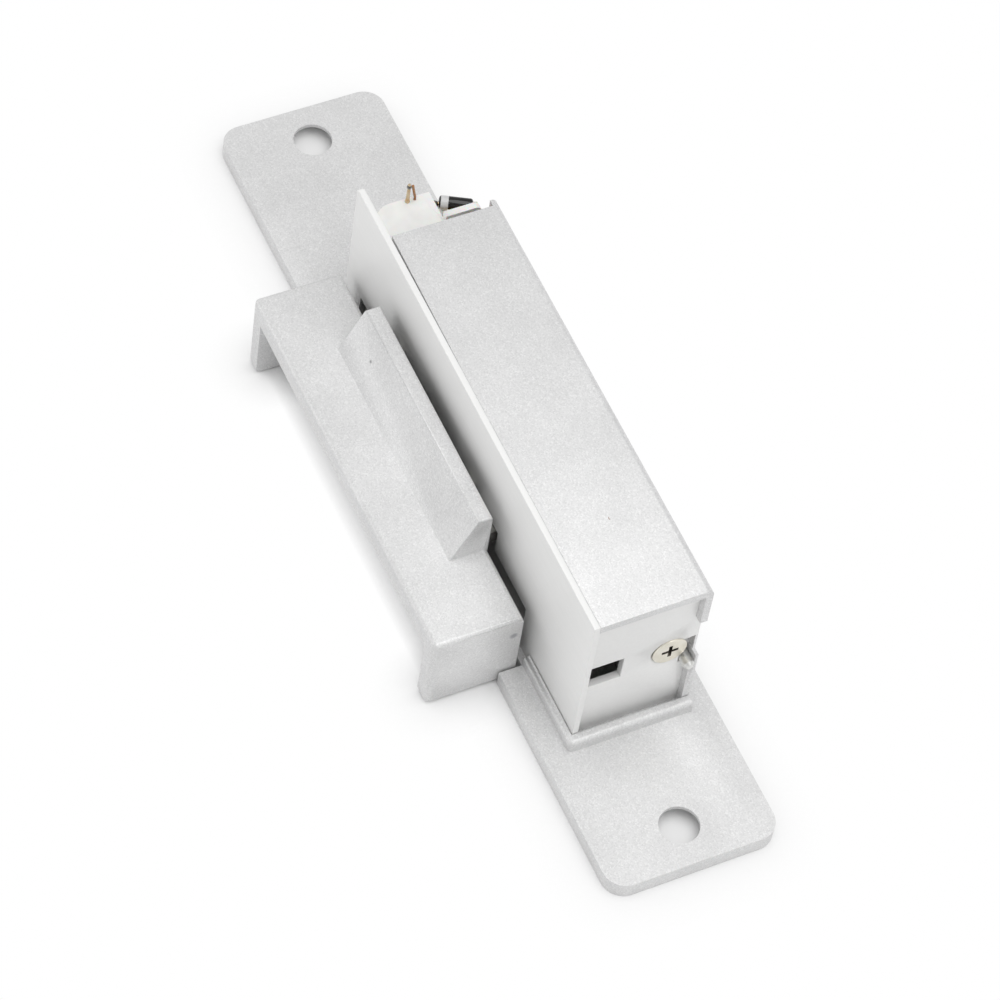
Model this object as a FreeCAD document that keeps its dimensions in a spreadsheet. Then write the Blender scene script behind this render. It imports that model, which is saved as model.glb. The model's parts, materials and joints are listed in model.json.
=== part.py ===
"""Electric strike, narrow type, built as a parametric FreeCAD document in millimetres.

Frame: X runs along the faceplate, Y across it, Z out of its rear face.
The faceplate's front face lies on z = 0 and the middle of its two fixing holes is the origin.
The keeper hangs over the faceplate's -Y edge and the side cover faces -Y.
"""
import math
import os
import re

import FreeCAD
import Part
import Sketcher

os.makedirs("parts", exist_ok=True)
doc = FreeCAD.newDocument("ElectricStrike")
V = FreeCAD.Vector

# Driving sizes. Each is written once, here, and every feature below reads them from the sheet.
SIZES = [
    # cutters run past the metal by "over"; pieces that are joined share "overlap"
    ("over", 1.0), ("overlap", 0.05),
    # faceplate with its holes
    ("plate_long", 150.0), ("plate_wide", 28.0), ("plate_thick", 3.0), ("plate_corner", 3.5),
    ("fix_pitch", 136.7), ("fix_bore", 6.3), ("fix_sink", 11.0),
    # rim round the housing's foot
    ("rim_high", 2.2), ("rim_side", 1.0), ("rim_near", 1.7), ("rim_round", 0.8), ("rim_gap", 0.1),
    # housing shell and its walls
    ("shell_far", 25.3), ("shell_near", 49.6), ("shell_right", 10.3), ("shell_top", 33.8),
    ("roof_thick", 1.5), ("wall_thick", 1.2), ("wall_ear", 1.1), ("shell_round", 1.2),
    ("gap_open", 0.3), ("gap_near", 1.0), ("step_top", 25.5),
    # bosses inside the housing
    ("boss_half", 3.0), ("boss_high", 8.6),
    ("end_boss_left", 2.6), ("end_boss_low", 1.9), ("end_boss_high", 2.5), ("bore_floor", 0.5),
    ("pin_boss_far", 3.6), ("pin_boss_gap", 0.4), ("pin_boss_left", 2.2), ("pin_boss_half", 2.0),
    ("groove_low", 1.5), ("groove_play", 0.15),
    # side cover
    ("cover_outer", 9.0), ("cover_thick", 1.0), ("cover_far", 35.5), ("cover_drop", 0.05),
    ("window_gap", 0.5), ("window_drop", 2.6), ("nick_long", 0.5), ("nick_deep", 0.6),
    # end plate with its two windows
    ("end_recess", 1.3), ("end_thick", 1.2), ("peep_wide", 6.2), ("peep_low", 15.2), ("peep_high", 5.0),
    ("slot_low", 16.3), ("slot_high", 3.6), ("slot_side", 7.9), ("slot_play", 0.1), ("slot_skin", 0.4),
    ("sink_side", 0.12), ("sink_drop", 0.16), ("sink_neck", 0.35), ("sink_play", 0.25), ("hole_play", 0.15),
    # latch pocket and its tray
    ("pocket_far", 30.2), ("pocket_near", 31.2), ("pocket_right", -0.5), ("pocket_deep", 12.6),
    ("tray_thick", 0.8), ("slot_end", 2.0),
    # keeper
    ("keep_far", 33.6), ("keep_near", 34.5), ("keep_left", 25.7), ("keep_right", 11.1),
    ("keep_top", 16.0), ("keep_plate", 3.6), ("keep_wall", 3.0), ("keep_foot", 0.3),
    ("keep_round", 0.8), ("keep_play", 0.3), ("notch_side", 0.9), ("lip_tip", 2.1), ("ramp_out", 5.0),
    ("ridge_far", 20.2), ("ridge_near", 21.3), ("ridge_base", 6.3), ("ridge_crest", 2.3), ("ridge_high", 8.3),
    ("tooth_far", 13.0), ("tooth_near", 18.5), ("tooth_out", 1.6), ("tooth_low", 17.22), ("tooth_high", 1.3),
    # hinge of the keeper
    ("hinge_y", 12.6), ("hinge_z", 21.1), ("hinge_pin_dia", 1.6), ("hinge_play", 0.03), ("hinge_deep", 39.0),
    ("pin_from", 0.3), ("pin_end_play", 0.2),
    ("arm_thick", 2.0), ("arm_far", 15.6), ("arm_near", 10.4), ("arm_play", 0.4),
    ("eye_out", 1.5), ("eye_play", 0.2), ("eye_neck", 1.3), ("slot_drop", 5.3), ("slot_rise", 2.0),
    ("neck_low", 0.8), ("neck_side", 1.0), ("neck_high", 1.1),
    ("arm_out", 0.4), ("arm_drop", 2.9), ("arm_foot", 0.2),
    ("bracket_thick", 1.2), ("bracket_high", 6.5), ("bracket_far", 17.5), ("bracket_near", 12.0),
    ("coil_slot_far", 6.4), ("coil_slot_near", 4.4),
    ("hinge_coil_far", 5.6), ("hinge_coil_long", 9.2), ("hinge_coil_play", 0.34), ("fine_wire", 0.4),
    # locking lever on its pin
    ("lever_far", 12.6), ("lever_near", 19.4), ("lever_tip", 10.3), ("lever_low", 14.4), ("lever_top", 16.95),
    ("nose_bevel", 0.35), ("nose_play", 0.6), ("nose_over", 0.25),
    ("lever_pin_y", 8.75), ("lever_pin_z", 14.8), ("lever_pin_dia", 1.8), ("lever_play", 0.05),
    ("lever_boss", 1.28), ("lever_hook", 0.5), ("boss_back", 0.6),
    ("horn_far", 16.6), ("horn_long", 2.8), ("horn_thick", 2.4), ("horn_top", 24.4), ("horn_play", 0.12),
    ("pin_deep", 3.0), ("pin_stub", 2.0), ("pin_bevel", 0.4), ("pin_bevel_in", 0.35),
    ("lever_spring_x", 3.0), ("lever_spring_y", 4.6), ("lever_spring_up", 0.25), ("lever_coil", 1.5),
    # solenoid
    ("coil_y", 0.6), ("coil_z", 20.6), ("coil_far", 33.5), ("coil_near", 3.05),
    ("coil_wound", 5.6), ("coil_tape_thick", 0.25), ("tube_out", 4.2), ("tube_bore", 3.6),
    ("flange_thick", 1.2), ("flange_out", 0.5), ("flange_disc", 5.95),
    ("yoke_thick", 1.2), ("yoke_wide", 11.0), ("yoke_top", 24.8),
    ("iron_dia", 7.0), ("core_near", 19.5), ("rivet_out", 0.5), ("air_gap", 4.0), ("plunger_near", 3.3),
    ("rod_dia", 3.0), ("rod_near", 19.1), ("rod_taper", 2.8), ("rod_tip", 2.0),
    ("clip_at", 9.0), ("clip_thick", 0.8), ("clip_dia", 6.0), ("spring_wire", 0.5), ("spring_coil", 2.1),
    # terminal block over the winding, with the rib beside it
    ("block_left", 7.6), ("block_right", 2.4), ("block_near", 27.0), ("block_gap", 0.25), ("block_top", 30.3),
    ("block_round", 3.5), ("rib_far", 28.1), ("rib_right", 8.3), ("rib_top", 32.0), ("rib_round", 1.2),
    # terminals, the strand on one of them and the diode between the other and the winding
    ("term_dia", 0.8), ("term_deep", 3.0), ("term_in", 0.6),
    ("term_left", 1.5), ("term_up", 4.2), ("term_out", 0.5),
    ("strand_dia", 0.44), ("strand_side", 1.25), ("strand_up", 0.5), ("strand_top", 0.6),
    ("diode_dia", 2.1), ("diode_long", 5.3), ("diode_in", 1.0), ("diode_y", 3.8), ("diode_z", 27.95),
    ("diode_turn", 20.5), ("lead_dia", 0.6), ("lead_stub", 0.84), ("lead_bend", 0.4), ("lead_play", 0.02),
    # screws with a cross recess
    ("screw_dia", 3.0), ("screw_head", 5.6), ("head_deep", 1.5), ("head_proud", 0.15), ("screw_play", 0.05),
    ("cross_reach", 1.35), ("cross_half", 0.3), ("cross_deep", 1.1),
    ("end_screw_y", 5.9), ("end_screw_z", 18.0), ("end_screw_long", 8.0),
    ("front_screw_y", 6.1), ("front_screw_near", 39.0), ("front_screw_far", 21.0), ("front_screw_long", 9.0),
]
sheet = doc.addObject("Spreadsheet::Sheet", "Sizes")
for row, (alias, value) in enumerate(SIZES, start=1):
    sheet.set("A%d" % row, alias)
    sheet.set("B%d" % row, repr(value))
    sheet.setAlias("B%d" % row, alias)
doc.recompute()
NAMES = {alias for alias, _ in SIZES}
probe = doc.addObject("Part::Box", "size_probe")
PROBE_SHIFT = 1000


def linked(text):
    """Points every size name in an expression at the sheet."""
    def with_sheet(word):
        name = word.group(0)
        return "Sizes." + name if name in NAMES else name
    return re.sub(r"[A-Za-z_]+", with_sheet, str(text))


def bind(thing, prop, text):
    thing.setExpression(prop, linked(text))


def number(text):
    """The number an expression stands for, worked out by the document's own engine."""
    probe.setExpression("Length", None)
    probe.setExpression("Length", linked("(%s) + %d" % (text, PROBE_SHIFT)))
    probe.recompute()
    return probe.Length.Value - PROBE_SHIFT


def span(middle, half):
    """Two ends, equally far from a middle."""
    return "(%s) - (%s)" % (middle, half), "(%s) + (%s)" % (middle, half)


def wider(ends):
    """Two ends, each moved outward by the cutters' overrun."""
    return "(%s) - over" % ends[0], "(%s) + over" % ends[1]


def length(ends):
    return "(%s) - (%s)" % (ends[1], ends[0])


def place(thing, x, y, z):
    bind(thing, "Placement.Base.x", x)
    bind(thing, "Placement.Base.y", y)
    bind(thing, "Placement.Base.z", z)
    return thing


def box(label, x, y, z):
    """A box from three pairs of ends."""
    block = doc.addObject("Part::Box", label)
    for prop, ends in (("Length", x), ("Width", y), ("Height", z)):
        bind(block, prop, length(ends))
    return place(block, x[0], y[0], z[0])


TURN = {
    "X": FreeCAD.Rotation(V(0, 1, 0), 90),
    "Y": FreeCAD.Rotation(V(1, 0, 0), -90),
    "Z": FreeCAD.Rotation(),
}


def rod(label, axis, at, long, radius):
    """A cylinder that starts at a point and runs along an axis."""
    bar = doc.addObject("Part::Cylinder", label)
    bar.Placement.Rotation = TURN[axis]
    bind(bar, "Radius", radius)
    bind(bar, "Height", long)
    return place(bar, *at)


def cone(label, axis, at, long, first, last):
    """A cone frustum that starts at a point with one radius and ends with another."""
    taper = doc.addObject("Part::Cone", label)
    taper.Placement.Rotation = TURN[axis]
    bind(taper, "Radius1", first)
    bind(taper, "Radius2", last)
    bind(taper, "Height", long)
    return place(taper, *at)


def profile(label, points, start, long, plane="YZ"):
    """A body with one sketch, whose corners are dimensioned from the origin, and its pad."""
    body = doc.addObject("PartDesign::Body", label)
    drawing = doc.addObject("Sketcher::SketchObject", label + "_sketch")
    body.addObject(drawing)
    if plane == "YZ":
        drawing.Placement.Rotation = FreeCAD.Rotation(V(1, 1, 1), 120)
        bind(drawing, "Placement.Base.x", start)
    else:
        bind(drawing, "Placement.Base.z", start)
    doc.recompute()
    spots = [(number(a), number(b)) for a, b in points]
    count = len(points)
    for i in range(count):
        p = spots[i]
        q = spots[(i + 1) % count]
        drawing.addGeometry(Part.LineSegment(V(p[0], p[1], 0), V(q[0], q[1], 0)), False)
    for i in range(count):
        drawing.addConstraint(Sketcher.Constraint("Coincident", i, 2, (i + 1) % count, 1))
    for i, (a, b) in enumerate(points):
        for kind, value, text in (("DistanceX", spots[i][0], a), ("DistanceY", spots[i][1], b)):
            index = drawing.addConstraint(Sketcher.Constraint(kind, -1, 1, i, 1, value))
            drawing.setExpression("Constraints[%d]" % index, linked(text))
    pad = doc.addObject("PartDesign::Pad", label + "_pad")
    body.addObject(pad)
    pad.Profile = drawing
    bind(pad, "Length", long)
    drawing.Visibility = False
    doc.recompute()
    return body, pad


def near(value, text):
    """Whether a coordinate lies where an expression says."""
    return abs(value - number(text)) < 0.01


def rounded(label, body, feature, picked, radius):
    """Rounds the picked edges of a body's last feature."""
    names = []
    for count, edge in enumerate(feature.Shape.Edges, start=1):
        if picked(edge.CenterOfMass):
            names.append("Edge%d" % count)
    step = doc.addObject("PartDesign::Fillet", label + "_fillet")
    body.addObject(step)
    step.Base = (feature, names)
    bind(step, "Radius", radius)
    doc.recompute()
    return body


def fuse(label, pieces):
    whole = doc.addObject("Part::MultiFuse", label)
    whole.Shapes = pieces
    whole.Refine = True
    return whole


def cut(label, base, tools):
    tool = tools[0] if len(tools) == 1 else fuse(label + "_tools", tools)
    result = doc.addObject("Part::Cut", label)
    result.Base = base
    result.Tool = tool
    result.Refine = True
    return result


def common(label, first, second):
    result = doc.addObject("Part::Common", label)
    result.Base = first
    result.Tool = second
    result.Refine = True
    return result


def slab(label, x, y, z, radius):
    """A plate with four round corners."""
    x_inner = ("(%s) + %s" % (x[0], radius), "(%s) - %s" % (x[1], radius))
    y_inner = ("(%s) + %s" % (y[0], radius), "(%s) - %s" % (y[1], radius))
    pieces = [box(label + "_long", x, y_inner, z), box(label + "_wide", x_inner, y, z)]
    for i, px in enumerate(x_inner):
        for j, py in enumerate(y_inner):
            pieces.append(rod("%s_corner_%d%d" % (label, i, j), "Z", (px, py, z[0]), length(z), radius))
    return fuse(label, pieces)


def wire(label, path, thick, sides=6):
    """A wire through a list of points, with mitred bends. Few sides keep its mesh light."""
    ahead = (path[1] - path[0]).normalize()
    upright = abs(ahead.z) > 0.9
    across = ahead.cross(V(1, 0, 0) if upright else V(0, 0, 1)).normalize() * (thick / 2)
    ring = [path[0] + FreeCAD.Rotation(ahead, 360 * i / sides).multVec(across) for i in range(sides)]
    outline = Part.makePolygon(ring + ring[:1])
    strand = doc.addObject("Part::Feature", label)
    strand.Shape = Part.makePolygon(path).makePipeShell([outline], True, False, 1)
    return strand


def coil(label, axis, at, long, mean, thick, turns, steps=8):
    """A coil spring that starts at a point and runs along an axis, bent from short straight runs."""
    total = number(long)
    radius = number(mean)
    wide = number(thick)
    angle = 2 * math.pi / steps
    count = turns * steps
    path = []
    for i in range(count + 1):
        up = wide / 2 + (total - wide) * i / count
        path.append(V(radius * math.cos(angle * i), radius * math.sin(angle * i), up))
    spring = wire(label, path, wide)
    spring.Placement.Rotation = TURN[axis]
    return place(spring, *at)


def spot(at):
    """The point that three expressions stand for."""
    return V(*(number(text) for text in at))


nodes = {}


def keep(node, thing):
    """Takes a finished piece up as one of the part's nodes."""
    thing.Label = node
    nodes[node] = thing
    return thing


# Places that several pieces share.
rim_top = "plate_thick + rim_high"
cover_end = "-cover_far - rim_gap"
notch_far = "-keep_far - keep_play"
notch_near = "keep_near + keep_play"
roof_low = "shell_top - roof_thick"
roof_left = "-cover_outer + cover_thick"
wall_in = "shell_right - wall_thick"
end_out = "shell_near - end_recess"
end_in = end_out + " - end_thick"
slot_top = "slot_low + slot_high + slot_play"
tray_top = "pocket_deep + tray_thick"
pocket_x = ("-pocket_far", "pocket_near")

# Faceplate: one casting with a notch for the keeper, the latch pocket and a rim round the housing's foot.
base = slab(
    "plate_base", span("0", "plate_long / 2"), span("0", "plate_wide / 2"),
    ("0", "plate_thick"), "plate_corner")
rim_left = "-cover_outer - rim_gap - rim_side"
rim_in = "-cover_outer - rim_gap"


def rim_part(label, run_end, outer, inner):
    """One stretch of the rim: an angle round a corner of the housing's foot, rounded along its top edge."""
    body, pad = profile(label, [
        (run_end, rim_left), (outer, rim_left), (outer, "shell_right"),
        (inner, "shell_right"), (inner, rim_in), (run_end, rim_in),
    ], "plate_thick", "rim_high", "XY")

    def picked(middle):
        on_end = near(middle.x, outer)
        on_side = near(middle.y, rim_left)
        return (on_end and on_side) or ((on_end or on_side) and near(middle.z, rim_top))

    return rounded(label, body, pad, picked, "rim_round")


rim = [
    rim_part("rim_near", notch_near, "shell_near + rim_near", "shell_near + rim_gap"),
    rim_part("rim_far", notch_far, cover_end + " - rim_side", cover_end),
]
holes = []
for side, name in (("-", "far"), ("", "near")):
    at = side + "fix_pitch / 2"
    holes.append(rod("fix_hole_" + name, "Z", (at, "0", "-over"), "plate_thick + 2 * over", "fix_bore / 2"))
    holes.append(cone(
        "fix_sink_" + name, "Z", (at, "0", "0"), "(fix_sink - fix_bore) / 2", "fix_sink / 2", "fix_bore / 2"))
for at, name in (("-front_screw_far", "far"), ("front_screw_near", "near")):
    holes.append(rod(
        "front_hole_" + name, "Z", (at, "front_screw_y", "-over"),
        "plate_thick + 2 * over", "screw_dia / 2 + screw_play"))
    holes.append(cone(
        "front_sink_" + name, "Z", (at, "front_screw_y", "0"),
        "head_deep", "screw_head / 2 + screw_play", "screw_dia / 2 + screw_play"))
through_rim = wider(("0", rim_top))
notch_y = ("-plate_wide / 2 - over", "-keep_right + notch_side")
holes.append(box("keeper_notch", (notch_far, notch_near), notch_y, through_rim))
holes.append(box("pocket_mouth", pocket_x, ("-keep_right", "pocket_right"), through_rim))
keep("faceplate", cut("faceplate_cut", fuse("plate_with_rim", [base] + rim), holes))

# Housing: roof and right wall of one casting, with bosses for the screws and the lever's pin.
shell, shell_pad = profile("shell", [
    (roof_left, roof_low), (wall_in, roof_low), (wall_in, "plate_thick"),
    ("shell_right", "plate_thick"), ("shell_right", "shell_top"), (roof_left, "shell_top"),
], "-shell_far", "shell_far + shell_near")
rounded(
    "shell", shell, shell_pad,
    lambda middle: near(middle.y, "shell_right") and near(middle.z, "shell_top"), "shell_round")
ear_x = ("-shell_far - wall_ear", "-shell_far")
round_low = "shell_top - shell_round"
ear = box("ear_wall", ear_x, (wall_in, "shell_right"), ("plate_thick", round_low))
ear_cap = common(
    "ear_cap",
    rod("ear_round", "X", (ear_x[0], "shell_right - shell_round", round_low), "wall_ear", "shell_round"),
    box("ear_limit", ear_x, (wall_in, "shell_right"), (round_low, "shell_top")))
front_boss_y = ("front_screw_y - boss_half", wall_in)
front_boss_z = ("plate_thick", "plate_thick + boss_high")
bosses = [
    box("boss_near", span("front_screw_near", "boss_half"), front_boss_y, front_boss_z),
    box("boss_far", span("-front_screw_far", "boss_half"), front_boss_y, front_boss_z),
    box(
        "boss_end", (end_in + " - end_screw_long", end_in), ("end_screw_y - end_boss_left", wall_in),
        ("end_screw_z - end_boss_low", "end_screw_z + end_boss_high")),
    box(
        "boss_pin", ("lever_far - pin_boss_far", "lever_far - pin_boss_gap"),
        ("lever_pin_y - pin_boss_left", wall_in), span("lever_pin_z", "pin_boss_half")),
]
screw_bore = "screw_dia / 2 + screw_play"
past_end = "shell_near + over"
wall_y = (wall_in + " - overlap", "shell_right + over")
shell_cuts = [
    rod(
        "boss_near_bore", "Z", ("front_screw_near", "front_screw_y", "plate_thick - over"),
        "boss_high - over", screw_bore),
    rod(
        "boss_far_bore", "Z", ("-front_screw_far", "front_screw_y", "plate_thick - over"),
        "boss_high - over", screw_bore),
    rod(
        "boss_end_bore", "X", (end_in + " - end_screw_long + bore_floor", "end_screw_y", "end_screw_z"),
        "end_screw_long", screw_bore),
    rod(
        "boss_pin_bore", "X", ("lever_far - pin_deep", "lever_pin_y", "lever_pin_z"),
        "pin_deep + 2 * over", "lever_pin_dia / 2"),
    box(
        "pin_groove", ("lever_far - pin_boss_gap", past_end),
        (wall_in + " - over", "lever_pin_y + lever_pin_dia / 2 + groove_play"),
        ("lever_pin_z - groove_low", "slot_low + overlap")),
    box(
        "slot_groove", (end_in, past_end), (wall_in + " - overlap", "shell_right - slot_skin"),
        ("slot_low", slot_top)),
    box("wall_step", (end_out, past_end), wall_y, ("slot_low", "step_top")),
    box("ear_step", (end_in, past_end), wall_y, (slot_top, "step_top")),
]
gap_left = roof_left + " - over"
gap_cut, _ = profile("roof_gap", [
    ("-shell_far - over", gap_left), ("gap_near", gap_left),
    ("gap_near", roof_left), ("-shell_far - over", roof_left + " + gap_open"),
], roof_low + " - over", "roof_thick + 2 * over", "XY")
shell_whole = fuse("shell_with_bosses", [shell, ear, ear_cap] + bosses)
keep("housing", cut("housing_cut", shell_whole, shell_cuts + [gap_cut]))

# End plate: flat steel, set back from the shell's near edge, with two windows and a sunk screw hole.
end_x = (end_in, end_out)
end_whole = fuse("end_sheet", [
    box("end_main", end_x, (roof_left, wall_in), ("plate_thick", roof_low)),
    box("end_ear", end_x, (wall_in, "shell_right"), (slot_top, "step_top")),
])
pin_clear = "(lever_pin_dia / 2 + slot_play)"
keep("end_plate", cut("end_plate_cut", end_whole, [
    box(
        "peep_window", wider(end_x), (roof_left + " - over", roof_left + " + peep_wide"),
        ("peep_low", "peep_low + peep_high")),
    box(
        "slot_window", wider(end_x), ("slot_side", wall_in + " + overlap"),
        ("slot_low", "slot_low + slot_high")),
    box(
        "pin_window", wider(end_x), ("lever_pin_y - " + pin_clear, "shell_right"),
        ("lever_pin_z - " + pin_clear, "slot_low + overlap")),
    rod(
        "end_hole", "X", (end_in + " - over", "end_screw_y", "end_screw_z"),
        "end_thick + 2 * over", "screw_dia / 2 + hole_play"),
    cone(
        "end_sink", "X", (end_in, "end_screw_y - sink_side", "end_screw_z - sink_drop"), "end_thick",
        "screw_dia / 2 + sink_neck", "screw_head / 2 + sink_play"),
]))

# Side cover: flat steel sheet, open at the latch pocket, with windows for the hinge arms and the lever.
cover_y = ("-cover_outer", roof_left)
cover_z = ("plate_thick", "shell_top - cover_drop")
cover_sheet = box("cover_sheet", ("-cover_far", "shell_near"), cover_y, cover_z)
keep("side_cover", cut("side_cover_cut", cover_sheet, [
    box("cover_pocket", pocket_x, wider(cover_y), ("plate_thick - over", "pocket_deep")),
    box(
        "arm_window", ("-bracket_far", "lever_far - window_gap"), wider(cover_y),
        ("pocket_deep - over", "hinge_z - window_drop")),
    box(
        "nose_window", ("lever_far - nose_play", "lever_near + nose_play"), wider(cover_y),
        ("pocket_deep - over", "lever_top + nose_over")),
    box(
        "cover_nick", ("-cover_far - over", "-cover_far + nick_long"), wider(cover_y),
        ("shell_top - nick_deep", "shell_top + over")),
]))

# Latch tray: thin steel box that keeps the bolt out of the mechanism.
tray_block = box(
    "tray_block", ("-pocket_far - tray_thick", "pocket_near + tray_thick"),
    (roof_left, "pocket_right + tray_thick"), ("plate_thick", tray_top))
keep("latch_tray", cut("latch_tray_cut", tray_block, [
    box(
        "tray_inside", pocket_x, (roof_left + " - over", "pocket_right"),
        ("plate_thick - over", "pocket_deep")),
    box(
        "tray_slot", ("lever_far - window_gap", "lever_near + window_gap"),
        (roof_left + " - over", "-slot_end"), wider(("pocket_deep", "pocket_deep + over"))),
]))

# Keeper: one casting. A rounded block, opened under its plate along the ramp, with a ridge and a tooth.
block, block_pad = profile("keeper_block", [
    ("-keep_left", "keep_top"), ("-keep_left", "keep_foot"),
    ("-keep_right", "keep_foot"), ("-keep_right", "keep_top"),
], "-keep_far", "keep_far + keep_near")
rounded(
    "keeper_block", block, block_pad,
    lambda middle: not near(middle.y, "-keep_right") or near(middle.z, "keep_top"), "keep_round")
crest = "keep_top + ridge_high"
ridge, ridge_pad = profile("keeper_ridge", [
    ("-keep_right - ridge_base", "keep_top - over"), ("-keep_right - ridge_base", "keep_top"),
    ("-keep_right - ridge_crest", crest), ("-keep_right", crest), ("-keep_right", "keep_top - over"),
], "-ridge_far", "ridge_far + ridge_near")
rounded("keeper_ridge", ridge, ridge_pad, lambda middle: near(middle.z, crest), "keep_round / 2")
ramp_left = "-keep_left - ramp_out"
plate_low = "keep_top - keep_plate"
under, _ = profile("keeper_under", [
    (ramp_left, plate_low), ("-keep_left", plate_low), ("-keep_right - lip_tip", "keep_foot"),
    ("-keep_right - lip_tip", "-ramp_out"), (ramp_left, "-ramp_out"),
], "-keep_far + keep_wall", "keep_far + keep_near - 2 * keep_wall")
tooth = box(
    "keeper_tooth", ("tooth_far", "tooth_near"), ("-keep_right - over", "-keep_right + tooth_out"),
    ("tooth_low", "tooth_low + tooth_high"))
keeper_cuts = [
    under,
    rod(
        "keeper_bore", "X", ("-ridge_far - over", "-hinge_y", "hinge_z"),
        "over + pin_from + hinge_deep + pin_end_play", "hinge_pin_dia / 2 + hinge_play"),
]
arm_slot = "arm_thick / 2 + arm_play"
keeper_slots = {
    "far": span("-arm_far", arm_slot),
    "near": span("arm_near", arm_slot),
    "coil": ("-coil_slot_far", "coil_slot_near"),
}
for name, ends in keeper_slots.items():
    slot_right = "-keep_right + over"
    keeper_cuts += [
        box(
            "slot_low_" + name, ends, ("-hinge_y - eye_neck", slot_right),
            ("hinge_z - slot_drop", "hinge_z")),
        box("slot_high_" + name, ends, ("-hinge_y", slot_right), ("hinge_z", "hinge_z + slot_rise")),
        rod("slot_eye_" + name, "X", (ends[0], "-hinge_y", "hinge_z"), length(ends), "eye_out + eye_play"),
    ]
keep("keeper", cut("keeper_cut", fuse("keeper_solid", [block, ridge, tooth]), keeper_cuts))

# Hinge bracket: a plate behind the cover whose two arms reach through its window to the keeper's pin.
bracket_right = roof_left + " + bracket_thick"
arm_low = tray_top + " + arm_foot"
bracket_z = (tray_top, tray_top + " + bracket_high")
bracket_x = ("-bracket_far", "bracket_near")
bracket_pieces = [box("bracket_plate", bracket_x, (roof_left, bracket_right), bracket_z)]
for name, at in (("far", "-arm_far"), ("near", "arm_near")):
    start = at + " - arm_thick / 2"
    arm, _ = profile("bracket_arm_" + name, [
        ("-hinge_y - eye_neck", "hinge_z - neck_low"), ("-hinge_y + neck_side", "hinge_z + neck_high"),
        ("-cover_outer - arm_out", "hinge_z - arm_drop"), (bracket_right, "hinge_z - arm_drop"),
        (bracket_right, arm_low), ("-cover_outer - arm_out", arm_low),
    ], start, "arm_thick")
    eye = rod("bracket_eye_" + name, "X", (start, "-hinge_y", "hinge_z"), "arm_thick", "eye_out")
    bracket_pieces += [arm, eye]
keep("hinge_bracket", cut("hinge_bracket_cut", fuse("bracket_whole", bracket_pieces), [
    rod("bracket_bore", "X", ("-ridge_far", "-hinge_y", "hinge_z"), "hinge_deep", "hinge_pin_dia / 2"),
]))
keep("hinge_pin", rod(
    "hinge_pin_rod", "X", ("-ridge_far + pin_from", "-hinge_y", "hinge_z"),
    "hinge_deep", "hinge_pin_dia / 2"))
keep("keeper_spring", coil(
    "keeper_spring_coil", "X", ("-hinge_coil_far", "-hinge_y", "hinge_z"), "hinge_coil_long",
    "hinge_pin_dia / 2 + hinge_coil_play", "fine_wire", 6))

# Locking lever: its nose stands under the keeper's tooth and its horn is held by the plunger's rod.
lever_x = ("lever_far", "lever_near")
boss_left = "lever_pin_y - boss_back"
lever, _ = profile("lever_bar", [
    ("-lever_tip", "lever_low"), ("-lever_tip", "lever_top - nose_bevel"),
    ("-lever_tip + nose_bevel", "lever_top"), ("-slot_end", "lever_top"),
    (boss_left, "lever_pin_z + lever_boss"),
    (boss_left, "lever_pin_z - lever_boss"), ("-slot_end", "lever_low"),
], "lever_far", length(lever_x))
horn_left = "coil_y + rod_dia / 2 + horn_play"
horn = box(
    "lever_horn", ("horn_far", "horn_far + horn_long"), (horn_left, horn_left + " + horn_thick"),
    ("lever_pin_z", "horn_top"))
boss = common(
    "lever_boss_part",
    rod("lever_boss_rod", "X", ("lever_far", "lever_pin_y", "lever_pin_z"), length(lever_x), "lever_boss"),
    box("lever_boss_limit", lever_x, ("0", "lever_pin_y + lever_hook"), ("0", "shell_top")))
keep("locking_lever", cut("locking_lever_cut", fuse("lever_whole", [lever, horn, boss]), [
    rod(
        "lever_bore", "X", ("lever_far - over", "lever_pin_y", "lever_pin_z"), length(wider(lever_x)),
        "lever_pin_dia / 2 + lever_play"),
]))
pin_start = "lever_far - pin_deep"
pin_bevel_at = end_out + " + pin_stub - pin_bevel"
keep("lever_pin", fuse("lever_pin_whole", [
    rod(
        "lever_pin_rod", "X", (pin_start, "lever_pin_y", "lever_pin_z"),
        length((pin_start, pin_bevel_at)), "lever_pin_dia / 2"),
    cone(
        "lever_pin_end", "X", (pin_bevel_at, "lever_pin_y", "lever_pin_z"), "pin_bevel",
        "lever_pin_dia / 2", "lever_pin_dia / 2 - pin_bevel_in"),
]))
keep("lever_spring", coil(
    "lever_spring_coil", "Z", ("lever_far + lever_spring_x", "lever_spring_y", "plate_thick"),
    "lever_pin_z - lever_boss - plate_thick + lever_spring_up", "lever_coil", "fine_wire", 5))

# Solenoid: yoke, bobbin with its terminal block, winding with its tape, fixed core and plunger.
far_in = "-coil_far + flange_thick"
near_in = "-coil_near - flange_thick"
flange_low = tray_top + " + yoke_thick"
yoke_far = "-coil_far - yoke_thick"
yoke_near = "-coil_near + yoke_thick"
yoke_y = span("coil_y", "yoke_wide / 2")
yoke_whole = fuse("yoke_whole", [
    box("yoke_foot", (yoke_far, yoke_near), yoke_y, (tray_top, flange_low)),
    box("yoke_far_wall", (yoke_far, "-coil_far"), yoke_y, (tray_top, "yoke_top")),
    box("yoke_near_wall", ("-coil_near", yoke_near), yoke_y, (tray_top, "yoke_top")),
])
keep("solenoid_yoke", cut("solenoid_yoke_cut", yoke_whole, [
    rod(
        "yoke_rod_hole", "X", ("-coil_near - over", "coil_y", "coil_z"),
        "yoke_thick + 2 * over", "rod_dia / 2 + hole_play"),
    rod(
        "yoke_core_hole", "X", (yoke_far + " - over", "coil_y", "coil_z"),
        "yoke_thick + 2 * over", "iron_dia / 4"),
]))
tape_out = "coil_wound + coil_tape_thick"
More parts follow.
